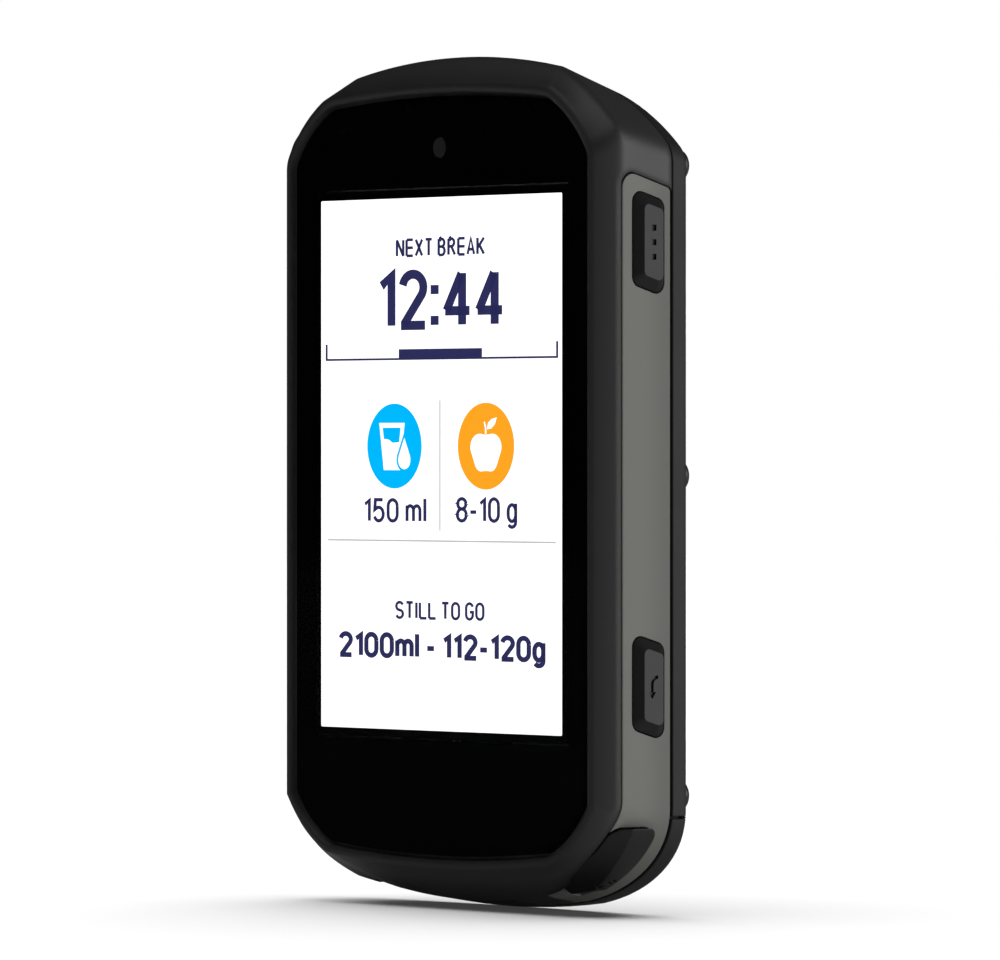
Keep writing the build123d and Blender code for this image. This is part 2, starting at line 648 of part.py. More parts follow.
def display_flex():
    """Flat cable that runs back from the panel's lower edge and turns onto the board."""
    run = block((-8, 8), (-12.75, BOARD_BACK + 0.25), (FLEX_Z - 0.1, FLEX_Z + 0.1))
    return run + block((-8, 8), (BOARD_BACK + 0.05, BOARD_BACK + 0.25), (FLEX_Z - 3.2, FLEX_Z))


def key_board(z_low, z_high):
    """Strip behind the right-hand switches."""
    face = KEY_FLANGE[0] - KEY_TRAVEL - 0.15 - SWITCH[2]
    return block((face - BOARD_THICKNESS, face), (KEY_Y - 1.9, KEY_Y + 1.9), (z_low, z_high))


def corner_board():
    """Small board behind the start key's switch."""
    depth = KEY_TRAVEL + 0.15 + SWITCH[2] + BOARD_THICKNESS / 2
    return corner_frame() * (Pos(0, 0, depth) * Box(3.6, 4.4, BOARD_THICKNESS))


# ---------------------------------------------------------------- assembly
def build_parts():
    body = outside()
    band_slot = band_space(body, BAND_DEPTH, 0, HOUSING_BACK, BAND_END_X)
    band = band_space(body, BAND_DEPTH - 0.05, BAND_GAP, BAND_BACK, BAND_END_X)
    band -= corner_block(3, 2, KEY_GAP, CORNER_END_GAP)
    band_right, band_left = band, flipped(band)
    for z in RIGHT_KEYS.values():
        band_right -= key_window(z)
    for z in LEFT_KEYS.values():
        band_left -= flipped(key_window(z))

    start_key = corner_key()
    for cut in start_symbol():
        start_key -= cut

    shell = back_shell(body)
    start_frame = corner_frame()
    parts = {
        "front_housing": front_housing(body, band_slot),
        "side_band_right": band_right,
        "side_band_left": band_left,
        "cover_glass": slab(rounded(outline(GLASS), GLASS_ROUND), GLASS_FRONT, GLASS_BACK),
        "glass_adhesive": glass_adhesive(),
        "display_panel": panel_layer(-14.9, -13.7),
        "backlight": panel_layer(-13.68, -12.8),
        "light_sensor": light_sensor(),
        "back_cover": back_cover(shell),
        "port_cover": port_cover(shell),
        "case_screws": case_screws(),
        "case_gasket": gasket_ring(0, COVER_FRONT),
        "mount_insert": mount_insert(),
        "mount_screws": mount_screws(),
        "usb_shell": usb_shell(),
        "usb_tongue": usb_tongue(),
        "chassis": chassis(),
        "main_board": main_board(),
        "shield_cans": shield_cans(),
        "chassis_screws": chassis_screws(),
        "battery": battery(),
        "gps_antenna": slab(Pos(0, 28.6) * Rectangle(18, 12), BOARD_BACK, -6.4),
        "buzzer": post(-13.8, -25.2, 4.0, BOARD_BACK, -7.6),
        "pressure_vent": post(VENT_X, VENT_Z, 1.6, COVER_FRONT, COVER_INSIDE),
        "display_flex": display_flex(),
        "key_board_right": key_board(-25, 28),
        "key_board_left": flipped(key_board(-25, 28)),
        "key_board_bottom": [corner_board(), flipped(corner_board())],
        "start_key": start_key,
        "lap_key": flipped(corner_key()),
        "start_plunger": plunger(start_frame),
        "lap_plunger": flipped(plunger(start_frame)),
    }
    symbols = {"menu": menu_symbol(), "back": back_symbol()}
    switches = [switch(start_frame), flipped(switch(start_frame))]
    for name, z in RIGHT_KEYS.items():
        key = side_key(z)
        for sketch in symbols[name]:
            key -= key_symbol(sketch, z)
        parts[name + "_key"] = key
        parts[name + "_plunger"] = plunger(side_frame(z))
        switches.append(switch(side_frame(z)))
    for name, z in LEFT_KEYS.items():
        parts[name + "_key"] = flipped(side_key(z))
        parts[name + "_plunger"] = flipped(plunger(side_frame(z)))
        switches.append(flipped(switch(side_frame(z))))
    parts["key_switches"] = switches
    return parts


def save(parts):
    """One STEP file per node; a group of separate solids shares one."""
    os.makedirs("parts", exist_ok=True)
    for name, shape in parts.items():
        solids = [s for item in (shape if isinstance(shape, list) else [shape]) for s in item.solids()]
        whole = solids[0] if len(solids) == 1 else Compound(children=solids)
        whole.label = name
        export_step(whole, f"parts/{name}.step")


save(build_parts())
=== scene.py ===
import json
import math
import bpy
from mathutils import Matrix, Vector

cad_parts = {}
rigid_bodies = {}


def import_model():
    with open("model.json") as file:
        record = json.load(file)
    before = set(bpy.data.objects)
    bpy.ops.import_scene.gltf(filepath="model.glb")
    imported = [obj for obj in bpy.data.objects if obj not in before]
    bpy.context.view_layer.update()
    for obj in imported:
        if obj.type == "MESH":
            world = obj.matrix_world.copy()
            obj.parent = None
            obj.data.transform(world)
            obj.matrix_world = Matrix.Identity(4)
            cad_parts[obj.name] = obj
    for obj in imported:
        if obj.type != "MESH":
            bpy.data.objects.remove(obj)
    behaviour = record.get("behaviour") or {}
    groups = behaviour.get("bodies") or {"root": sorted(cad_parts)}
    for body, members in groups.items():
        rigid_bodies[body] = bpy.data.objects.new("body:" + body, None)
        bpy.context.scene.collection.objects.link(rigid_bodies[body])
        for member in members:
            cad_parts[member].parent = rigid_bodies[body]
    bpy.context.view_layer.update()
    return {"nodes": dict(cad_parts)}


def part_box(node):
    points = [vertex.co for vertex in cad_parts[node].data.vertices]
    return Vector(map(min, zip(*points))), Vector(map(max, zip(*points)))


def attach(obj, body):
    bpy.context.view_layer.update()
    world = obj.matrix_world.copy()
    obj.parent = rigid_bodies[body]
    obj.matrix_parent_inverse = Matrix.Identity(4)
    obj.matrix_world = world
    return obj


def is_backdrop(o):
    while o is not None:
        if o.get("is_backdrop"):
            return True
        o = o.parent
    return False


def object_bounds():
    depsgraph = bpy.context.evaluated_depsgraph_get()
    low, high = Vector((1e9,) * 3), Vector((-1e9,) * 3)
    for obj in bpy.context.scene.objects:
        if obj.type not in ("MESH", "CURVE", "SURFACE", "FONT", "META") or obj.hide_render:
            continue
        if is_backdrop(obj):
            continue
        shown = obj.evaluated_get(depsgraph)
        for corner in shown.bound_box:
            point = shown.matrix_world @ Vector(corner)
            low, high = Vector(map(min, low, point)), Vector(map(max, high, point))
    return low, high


# Looks of the handlebar cycling computer: materials, the picture on its screen, a studio.
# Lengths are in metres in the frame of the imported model; MM turns millimetres into metres.

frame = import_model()
NODES = frame["nodes"]
MM = 0.001


def add_object(name, data):
    """A new object that holds the data, put into the scene."""
    made = bpy.data.objects.new(name, data)
    bpy.context.scene.collection.objects.link(made)
    return made


# ---------------------------------------------------------------- node helpers
def feed(nt, value, socket):
    """Sets a socket, or links it when the value is another node's output."""
    if isinstance(value, bpy.types.NodeSocket):
        nt.links.new(value, socket)
    else:
        socket.default_value = value


def node(nt, kind, settings=None, **inputs):
    """A node with its properties and inputs set; input names use _ for a space."""
    made = nt.nodes.new(kind)
    for name, value in (settings or {}).items():
        setattr(made, name, value)
    for name, value in inputs.items():
        feed(nt, value, made.inputs[name.replace("_", " ")])
    return made


def rgba(colour, factor=1.0):
    """A colour made lighter or darker by a factor, with full alpha."""
    return (*[min(1.0, c * factor) for c in colour[:3]], 1.0)


def math_node(nt, operation, first, second=0.0, clamp=False):
    made = nt.nodes.new("ShaderNodeMath")
    made.operation, made.use_clamp = operation, clamp
    feed(nt, first, made.inputs[0])
    feed(nt, second, made.inputs[1])
    return made.outputs[0]


def mix_colour(nt, share, first, second, blend="MIX"):
    made = nt.nodes.new("ShaderNodeMix")
    made.data_type, made.blend_type = "RGBA", blend
    feed(nt, share, made.inputs["Factor"])
    feed(nt, first, made.inputs[6])
    feed(nt, second, made.inputs[7])
    return made.outputs[2]


def mapped(nt, source, low, high, start=0.0, end=1.0, smooth=False):
    """The source's values from start to end, spread over low to high."""
    settings = {"interpolation_type": "SMOOTHSTEP"} if smooth else {}
    made = node(nt, "ShaderNodeMapRange", settings, Value=source, From_Min=start, From_Max=end,
                To_Min=low, To_Max=high)
    return made.outputs["Result"]


def place(nt, stretch=(1, 1, 1)):
    """The object's own coordinates, in metres, stretched per axis."""
    coords = nt.nodes.new("ShaderNodeTexCoord")
    mapping = node(nt, "ShaderNodeMapping", Vector=coords.outputs["Object"])
    mapping.inputs["Scale"].default_value = stretch
    return mapping.outputs["Vector"]


def noise(nt, size, detail=2.0, stretch=(1, 1, 1), roughness=0.5):
    """Noise whose lumps are about the given size, in metres."""
    made = node(nt, "ShaderNodeTexNoise", Vector=place(nt, stretch), Scale=1 / size,
                Detail=detail, Roughness=roughness)
    return made.outputs["Fac"]


def cells(nt, size):
    """Distance from the middles of cells of the given size, in metres."""
    return node(nt, "ShaderNodeTexVoronoi", Vector=place(nt), Scale=1 / size).outputs["Distance"]


def bump(nt, height, depth, under=None):
    """Normal of a relief of the given depth, in metres, on top of another normal."""
    made = node(nt, "ShaderNodeBump", Height=height, Distance=depth, Strength=1.0)
    if under is not None:
        nt.links.new(under, made.inputs["Normal"])
    return made.outputs["Normal"]


def new_material(name):
    material = bpy.data.materials.new(name)
    material.use_nodes = True
    nt = material.node_tree
    return material, nt, nt.nodes["Principled BSDF"]


def surface(name, colour, roughness, grain=0.12 * MM, depth=0.004 * MM, mottle=0.12,
            edge=0.0, spread=0.06, metallic=0.0, specular=0.5, stretch=(1, 1, 1)):
    """Moulded or machined surface: patchy colour, grain, uneven gloss and eased edges."""
    material, nt, shader = new_material(name)
    patches = noise(nt, 5 * MM, detail=4)
    fine = noise(nt, grain, detail=3, stretch=stretch)
    tint = mix_colour(nt, patches, rgba(colour, 1 - mottle), rgba(colour, 1 + mottle))
    speckle = mix_colour(nt, mapped(nt, fine, 0.0, 0.25), tint, rgba(colour, 1.6))
    nt.links.new(speckle, shader.inputs["Base Color"])
    gloss = math_node(nt, "ADD", mapped(nt, patches, roughness - spread, roughness + spread),
                      mapped(nt, fine, -spread / 2, spread / 2), clamp=True)
    nt.links.new(gloss, shader.inputs["Roughness"])
    eased = None
    if edge:
        eased = node(nt, "ShaderNodeBevel", {"samples": EDGE_SAMPLES}, Radius=edge).outputs["Normal"]
    nt.links.new(bump(nt, fine, depth, under=eased), shader.inputs["Normal"])
    shader.inputs["Metallic"].default_value = metallic
    shader.inputs["Specular IOR Level"].default_value = specular
    return material


# ---------------------------------------------------------------- materials
EDGE_SAMPLES = 6
GLASS_ALPHA = 0.06
PIXEL = 0.14 * MM
FACE_LEAN = 0.97            # a key's face, painted lighter than its walls, is where the normal's X part is larger than this


def shade_by_depth(material, front, back, low, high):
    """Painted light and shade: multiplies a material's colour by low at the depth front, turning to high
    at back.
    """
    nt = material.node_tree
    shader = nt.nodes["Principled BSDF"]
    colour = shader.inputs["Base Color"].links[0].from_socket
    depth = node(nt, "ShaderNodeSeparateXYZ", Vector=place(nt)).outputs["Y"]
    share = mapped(nt, depth, low, high, front, back, smooth=True)
    grey = node(nt, "ShaderNodeCombineXYZ", X=share, Y=share, Z=share)
    shaded = mix_colour(nt, 1.0, colour, grey.outputs["Vector"], blend="MULTIPLY")
    nt.links.new(shaded, shader.inputs["Base Color"])


def keycap(name, face, wall):
    """Rubber of the side keys, with painted light and shade: the face is painted light, the walls round it
    are painted dark.
    """
    material = surface(name, wall, 0.7, grain=0.08 * MM, edge=0.1 * MM, specular=0.35)
    nt = material.node_tree
    shader = nt.nodes["Principled BSDF"]
    dark = shader.inputs["Base Color"].links[0].from_socket
    normal = nt.nodes.new("ShaderNodeNewGeometry").outputs["True Normal"]
    across = node(nt, "ShaderNodeSeparateXYZ", Vector=normal).outputs["X"]
    # Painted light and shade: surfaces turned to the side take the light colour, the walls the dark one.
    painted_light_mask = math_node(nt, "GREATER_THAN", math_node(nt, "ABSOLUTE", across), FACE_LEAN)
    light = mix_colour(nt, noise(nt, 0.1 * MM, detail=3), rgba(face, 0.85), rgba(face, 1.2))
    nt.links.new(mix_colour(nt, painted_light_mask, dark, light), shader.inputs["Base Color"])
    return material


def circuit_board():
    """Green solder mask over fine copper tracks and small pads."""
    material, nt, shader = new_material("circuit_board")
    tracks = node(nt, "ShaderNodeTexBrick", Vector=place(nt), Scale=1 / (1.6 * MM))
    tracks.inputs["Color1"].default_value = (0.012, 0.085, 0.04, 1)
    tracks.inputs["Color2"].default_value = (0.016, 0.115, 0.055, 1)
    tracks.inputs["Mortar"].default_value = (0.05, 0.2, 0.09, 1)
    pads = math_node(nt, "LESS_THAN", cells(nt, 1.1 * MM), 0.16)
    colour = mix_colour(nt, pads, tracks.outputs["Color"], (0.75, 0.58, 0.25, 1))
    nt.links.new(colour, shader.inputs["Base Color"])
    nt.links.new(pads, shader.inputs["Metallic"])
    nt.links.new(mapped(nt, noise(nt, 0.8 * MM), 0.25, 0.45), shader.inputs["Roughness"])
    nt.links.new(bump(nt, tracks.outputs["Fac"], 0.02 * MM), shader.inputs["Normal"])
    return material


def brushed_metal(name, colour, roughness, along="X"):
    """Metal with drawn lines along one axis."""
    stretch = {"X": (0.03, 1, 1), "Z": (1, 1, 0.03)}[along]
    return surface(name, colour, roughness, grain=0.05 * MM, depth=0.003 * MM, mottle=0.1,
                   spread=0.12, metallic=1.0, stretch=stretch)


def wrinkled_foil():
    """Laminated foil of a pouch cell, with soft creases."""
    material, nt, shader = new_material("cell_foil")
    creases = noise(nt, 3 * MM, detail=6, roughness=0.7)
    nt.links.new(mix_colour(nt, creases, (0.42, 0.43, 0.45, 1), (0.66, 0.67, 0.7, 1)),
                 shader.inputs["Base Color"])
    nt.links.new(mapped(nt, creases, 0.28, 0.5), shader.inputs["Roughness"])
    shader.inputs["Metallic"].default_value = 0.85
    nt.links.new(bump(nt, creases, 0.12 * MM), shader.inputs["Normal"])
    return material


def copper_film():
    """Amber film with parallel tracks along its length."""
    material, nt, shader = new_material("copper_film")
    tracks = node(nt, "ShaderNodeTexWave", {"bands_direction": "X"}, Vector=place(nt),
                  Scale=1 / (2.6 * MM), Distortion=0.0)
    nt.links.new(mix_colour(nt, tracks.outputs["Fac"], (0.36, 0.12, 0.02, 1), (0.72, 0.36, 0.1, 1)),
                 shader.inputs["Base Color"])
    nt.links.new(mapped(nt, noise(nt, 1 * MM), 0.25, 0.4), shader.inputs["Roughness"])
    nt.links.new(bump(nt, tracks.outputs["Fac"], 0.01 * MM), shader.inputs["Normal"])
    return material


def porous_membrane():
    """Pale felt-like sheet with fine pores."""
    material, nt, shader = new_material("porous_membrane")
    pores = cells(nt, 0.12 * MM)
    nt.links.new(mix_colour(nt, pores, (0.45, 0.45, 0.43, 1), (0.82, 0.82, 0.8, 1)),
                 shader.inputs["Base Color"])
    nt.links.new(mapped(nt, pores, 0.7, 0.95), shader.inputs["Roughness"])
    nt.links.new(bump(nt, pores, 0.03 * MM), shader.inputs["Normal"])
    return material


def tinted_glass():
    """Thin hard glass over the black border and the screen."""
    material, nt, shader = new_material("tinted_glass")
    film = noise(nt, 9 * MM, detail=2)
    nt.links.new(mix_colour(nt, film, (0.0, 0.0, 0.0, 1), (0.002, 0.002, 0.003, 1)),
                 shader.inputs["Base Color"])
    nt.links.new(mapped(nt, film, 0.03, 0.06), shader.inputs["Roughness"])
    shader.inputs["Alpha"].default_value = GLASS_ALPHA
    shader.inputs["Specular IOR Level"].default_value = 0.25
    return material


def screen_ink(name, colour, strength):
    """What the panel shows: light of one colour, seen through its fine grid of cells."""
    material, nt, shader = new_material(name)
    grid = node(nt, "ShaderNodeTexChecker", Vector=place(nt), Scale=1 / PIXEL)
    nt.links.new(mix_colour(nt, grid.outputs["Fac"], rgba(colour, 0.9), rgba(colour)),
                 shader.inputs["Base Color"])
    nt.links.new(mapped(nt, noise(nt, 2 * MM), 0.3, 0.36), shader.inputs["Roughness"])
    shader.inputs["Specular IOR Level"].default_value = 0.0
    shader.inputs["Emission Color"].default_value = rgba(colour)
    shader.inputs["Emission Strength"].default_value = strength
    return material


case_black = surface("case_black", (0.021, 0.021, 0.0215), 0.5, grain=0.10 * MM, edge=0.9 * MM)
band_olive = surface("band_olive", (0.135, 0.138, 0.124), 0.62, grain=0.09 * MM, edge=0.12 * MM)
# The keys' face colour is painted light and their wall colour is painted shade.
key_rubber = keycap("key_rubber", (0.05, 0.05, 0.0505), (0.002, 0.002, 0.002))
corner_rubber = surface("corner_rubber", (0.005, 0.005, 0.0052), 0.5, grain=0.08 * MM, edge=0.3 * MM,
                        specular=0.35)
cover_black = surface("cover_black", (0.013, 0.013, 0.0135), 0.6, grain=0.14 * MM, edge=0.3 * MM,
                      specular=0.3)
flap_rubber = surface("flap_rubber", (0.012, 0.012, 0.013), 0.65, grain=0.1 * MM, edge=0.3 * MM,
                      specular=0.3)
bond_black = surface("bond_black", (0.0015, 0.0015, 0.0016), 0.9, specular=0.0)
panel_black = surface("panel_black", (0.0015, 0.0015, 0.0018), 0.9, specular=0.0)
sensor_dark = surface("sensor_dark", (0.006, 0.006, 0.0062), 0.4, grain=0.3 * MM)
steel_black = surface("steel_black", (0.03, 0.03, 0.031), 0.38, metallic=0.6, edge=0.12 * MM)
steel_bright = brushed_metal("steel_bright", (0.62, 0.62, 0.63), 0.3)
alloy = brushed_metal("alloy", (0.68, 0.69, 0.71), 0.38, along="Z")
mount_black = surface("mount_black", (0.02, 0.02, 0.0215), 0.45, grain=0.2 * MM, edge=0.3 * MM)
# Black of the seam seal, which is also painted shade in the seam.
gasket_and_shade_black = surface("gasket_and_shade_black", (0.004, 0.004, 0.004), 0.8, grain=0.1 * MM, specular=0.2)
gasket_grey = surface("gasket_grey", (0.05, 0.05, 0.055), 0.8, grain=0.3 * MM, depth=0.01 * MM)
polymer_black = surface("polymer_black", (0.018, 0.018, 0.019), 0.5, edge=0.08 * MM)
plunger_white = surface("plunger_white", (0.7, 0.7, 0.68), 0.5)
diffuser_white = surface("diffuser_white", (0.82, 0.82, 0.82), 0.7, grain=0.4 * MM)
ceramic_tan = surface("ceramic_tan", (0.55, 0.48, 0.34), 0.7, grain=0.25 * MM, mottle=0.2)
# Painted shade at the glass's lip and painted light towards the outer edge of the housing's bevel.
shade_by_depth(case_black, -15.3 * MM, -13.2 * MM, 0.55, 1.25)
# Painted shade: the side bands are painted darker towards the back.
shade_by_depth(band_olive, -10.5 * MM, -6.5 * MM, 1.04, 0.8)

LOOKS = {
    case_black: ["front_housing"],
    band_olive: ["side_band_right", "side_band_left"],
    key_rubber: ["menu_key", "back_key", "power_key", "up_key", "down_key"],
    corner_rubber: ["start_key", "lap_key"],
    cover_black: ["back_cover"],
    flap_rubber: ["port_cover"],
    tinted_glass(): ["cover_glass"],
    bond_black: ["glass_adhesive"],
    panel_black: ["display_panel"],
    diffuser_white: ["backlight"],
    sensor_dark: ["light_sensor"],
    steel_black: ["case_screws"],
    steel_bright: ["mount_screws", "usb_shell", "shield_cans", "chassis_screws"],
    alloy: ["chassis"],
    mount_black: ["mount_insert"],
    gasket_grey: ["case_gasket"],
    polymer_black: ["usb_tongue", "buzzer", "key_switches"],
    plunger_white: [name for name in NODES if name.endswith("_plunger")],
    circuit_board(): ["main_board", "key_board_right", "key_board_left", "key_board_bottom"],
    wrinkled_foil(): ["battery"],
    ceramic_tan: ["gps_antenna"],
    porous_membrane(): ["pressure_vent"],
    copper_film(): ["display_flex"],
}
for look, names in LOOKS.items():
    for name in names:
        NODES[name].data.materials.clear()
        NODES[name].data.materials.append(look)


# ---------------------------------------------------------------- seam seal, also painted shade
SEAL_HALF_LENGTH = 26.66 * MM
SEAL_TIP = 0.1 * MM         # length of each narrowing end
SEAL_TIP_SIZE = 0.4         # the tips' size, as a part of the bead's
SEAL_Y, SEAL_Z = -4.2 * MM, -34.9 * MM
SEAL_HALF_DEPTH, SEAL_HALF_HEIGHT = 0.3 * MM, 0.145 * MM
SEAL_SIDES = 16


def seam_seal_and_shade():
    """Thin rubber bead under the back cover's lower edge, which closes the seam; its black is also painted
    shade in the seam.
    """
    full = SEAL_HALF_LENGTH - SEAL_TIP
    sections = [(-SEAL_HALF_LENGTH, SEAL_TIP_SIZE), (-full, 1.0), (full, 1.0),
                (SEAL_HALF_LENGTH, SEAL_TIP_SIZE)]
    turns = [2 * math.pi * i / SEAL_SIDES for i in range(SEAL_SIDES)]
    vertices = [(x, SEAL_Y + SEAL_HALF_DEPTH * size * math.cos(turn),
                 SEAL_Z + SEAL_HALF_HEIGHT * size * math.sin(turn))
                for x, size in sections for turn in turns]
    rings = [[k * SEAL_SIDES + i for i in range(SEAL_SIDES)] for k in range(len(sections))]
    faces = [rings[0][::-1], rings[-1]]
    for ring_a, ring_b in zip(rings, rings[1:]):
        for i in range(SEAL_SIDES):
            after = (i + 1) % SEAL_SIDES
            faces.append((ring_a[i], ring_a[after], ring_b[after], ring_b[i]))
    mesh = bpy.data.meshes.new("seam_seal_and_shade")
    mesh.from_pydata(vertices, [], faces)
    mesh.materials.append(gasket_and_shade_black)
    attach(add_object("seam_seal_and_shade", mesh), "computer")


seam_seal_and_shade()


# ---------------------------------------------------------------- picture on the screen
LIT_WIDTH, LIT_HEIGHT = 39.3 * MM, 56.2 * MM
panel_low, panel_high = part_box("display_panel")
SCREEN_CENTRE = (panel_low + panel_high) / 2
PANEL_FACE = panel_low.y
SHEET_THICKNESS = 0.004 * MM
INK_THICKNESS = 0.002 * MM
LAYER_GAP = 0.001 * MM

white_light = screen_ink("white_light", (1.0, 1.0, 1.0), 1.15)
navy_light = screen_ink("navy_light", (0.023, 0.024, 0.09), 1.0)
blue_light = screen_ink("blue_light", (0.0, 0.39, 1.0), 1.12)
orange_light = screen_ink("orange_light", (1.0, 0.31, 0.013), 1.12)
grey_light = screen_ink("grey_light", (0.55, 0.55, 0.57), 0.8)


def on_screen(x, z, layer):
    """A point of the picture, in mm from the screen's centre; higher layers lie in front."""
    front = PANEL_FACE - SHEET_THICKNESS - layer * (INK_THICKNESS + LAYER_GAP)
    return Vector((SCREEN_CENTRE.x + x * MM, front, SCREEN_CENTRE.z + z * MM))


def show(name, mesh, look, at):
    """Stands a flat mesh up as a piece of the picture, which rides on the computer."""
    piece = add_object(name, mesh)
    piece.rotation_euler = (math.pi / 2, 0, 0)
    piece.location = at
    mesh.materials.append(look)
    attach(piece, "computer")
    return piece


def flat_piece(name, loops, look, layer, thickness=INK_THICKNESS):
    """Thin plate from closed loops of points in mm; inner loops are holes."""
    curve = bpy.data.curves.new(name, "CURVE")
    curve.dimensions, curve.fill_mode = "2D", "BOTH"
    curve.extrude = thickness / 2
    for loop in loops:
        spline = curve.splines.new("POLY")
        spline.points.add(len(loop) - 1)
        for point, (x, z) in zip(spline.points, loop):
            point.co = (x * MM, z * MM, 0, 1)
        spline.use_cyclic_u = True
    drawn = add_object(name, curve)
    mesh = bpy.data.meshes.new_from_object(drawn.evaluated_get(bpy.context.evaluated_depsgraph_get()))
    bpy.data.objects.remove(drawn)
    return show(name, mesh, look, on_screen(0, 0, layer))


def arc(centre, radius, start, end, steps=24):
    """Points along an arc, angles in degrees; radius is one number or (across, up)."""
    across, up = radius if isinstance(radius, tuple) else (radius, radius)
    angles = [math.radians(start + (end - start) * i / steps) for i in range(steps + 1)]
    return [(centre[0] + across * math.cos(a), centre[1] + up * math.sin(a)) for a in angles]


def round_box(low, high, radius):
    """Outline of a box with round corners, from its lowest and highest corner."""
    (x0, z0), (x1, z1) = low, high
    corners = [((x1 - radius, z1 - radius), 0), ((x0 + radius, z1 - radius), 90),
               ((x0 + radius, z0 + radius), 180), ((x1 - radius, z0 + radius), 270)]
    return [p for centre, turn in corners for p in arc(centre, radius, turn, turn + 90, 6)]


def bowl(centre, radius, start, end):
    """A round part of a character."""
    return arc(centre, radius, start, end, 18)


def ring(low, high, width):
    """A closed upright loop with round ends."""
    half, bend = width / 2, min(0.3, (high - low) / 2)
    return (bowl((half, high - bend), (half, bend), 0, 180)
            + bowl((half, low + bend), (half, bend), 180, 360) + [(width, high - bend)])


def letters():
    """Centre lines of each character and its width; a capital is 1 high."""
    w = 0.48
    right = {y: [(0, y), (w, y)] for y in (0, 0.5, 1)}
    stem = [(0, 0), (0, 1)]
    upper = [(0, 1), (0.2, 1)] + bowl((0.2, 0.76), (0.22, 0.24), 90, -90) + [(0, 0.52)]
    lower = [(0, 0.52), (0.2, 0.52)] + bowl((0.22, 0.26), (0.22, 0.26), 90, -90) + [(0, 0)]
    arch = [[(x, 0.44)] + bowl((x + 0.17, 0.5), (0.17, 0.22), 180, 0) + [(x + 0.34, 0)] for x in (0, 0.34)]
    snake = bowl((w / 2, 0.75), (w / 2, 0.25), 20, 250) + bowl((w / 2, 0.25), (w / 2, 0.25), 60, -160)
    return {
        "0": ([ring(0, 1, w)], w),
        "1": ([[(0, 0.78), (0.23, 0.97), (0.23, 0)]], 0.23),
        "2": ([bowl((w / 2, 0.74), (w / 2, 0.26), 170, -32) + [(0.03, 0.02)], [(-0.04, 0), (w + 0.04, 0)]],
              w),
        "4": ([[(0.37, 0), (0.37, 1)], [(0.35, 0.99), (0.01, 0.27)], [(-0.02, 0.27), (0.54, 0.27)]], w),
        "5": ([[(w - 0.03, 1), (0.06, 1), (0.03, 0.52)]
               + bowl((w / 2, 0.32), (w / 2, 0.32), 125, -160)], w),
        "8": ([ring(0, 0.54, w), [(x + 0.02, y) for x, y in ring(0.54, 1, w - 0.04)]], w),
        ":": ([[(0, 0.0), (0, 0.18)], [(0, 0.6), (0, 0.78)]], 0),
        "-": ([[(-0.04, 0.4), (0.28, 0.4)]], 0.24),
        "m": ([[(0, 0), (0, 0.74)]] + arch, 0.68),
        "l": ([[(0, 0), (0, 1.06)]], 0),
        "g": ([ring(0, 0.74, 0.4), [(0.4, 0.8), (0.4, 0.0)] + bowl((0.2, -0.04), (0.2, 0.22), 0, -150)],
              0.4),
        " ": ([], 0.0),
        "A": ([[(0, 0), (w / 2, 1), (w, 0)], [(0.09, 0.3), (w - 0.09, 0.3)]], w),
        "B": ([stem, upper, lower], w),
        "E": ([stem, *right.values()], w - 0.04),
        "G": ([bowl((w / 2, 0.72), (w / 2, 0.28), 15, 180) + bowl((w / 2, 0.28), (w / 2, 0.28), 180, 360)
               + [(w, 0.46), (0.26, 0.46)]], w),
        "I": ([stem], 0),
        "K": ([stem, [(0, 0.36), (w, 1)], [(0.14, 0.56), (w, 0)]], w),
        "L": ([stem, right[0]], w - 0.06),
        "N": ([stem, [(0, 1), (w, 0)], [(w, 0), (w, 1)]], w),
        "O": ([ring(0, 1, w + 0.02)], w + 0.02),
        "R": ([stem, upper, [(0.22, 0.52), (w, 0)]], w),
        "S": ([snake], w),
        "T": ([right[1], [(w / 2, 0), (w / 2, 1)]], w),
        "X": ([[(0, 0), (w, 1)], [(0, 1), (w, 0)]], w),
    }


LETTERS = letters()
LETTER_SPACE = 0.26
PEN = (1.2, 0.9)            # the pen is wider across than up


def ribbon(points, width, vertices, faces):
    """Adds a flat stroke of even width along the points, in mm, with mitred corners."""
    first, steps = len(vertices), [Vector(p) for p in points]
    for i, point in enumerate(steps):
        before = (point - steps[i - 1]).normalized() if i else None
        after = (steps[i + 1] - point).normalized() if i + 1 < len(steps) else None
        before, after = before or after, after or before
        mean = (before + after).normalized() if (before + after).length > 0.3 else after
        reach = width / 2 / max(0.45, mean.dot(after))
        side = Vector((-mean.y * reach * PEN[0], mean.x * reach * PEN[1]))
        for edge in (point + side, point - side):
            vertices += [(edge.x * MM, edge.y * MM, z) for z in (-INK_THICKNESS / 2, INK_THICKNESS / 2)]
    for i in range(first, first + 4 * (len(steps) - 1), 4):
        faces += [(i + 1, i + 3, i + 7, i + 5), (i, i + 4, i + 6, i + 2),
                  (i, i + 1, i + 5, i + 4), (i + 2, i + 6, i + 7, i + 3)]
    last = first + 4 * (len(steps) - 1)
    faces += [(first, first + 2, first + 3, first + 1), (last, last + 1, last + 3, last + 2)]


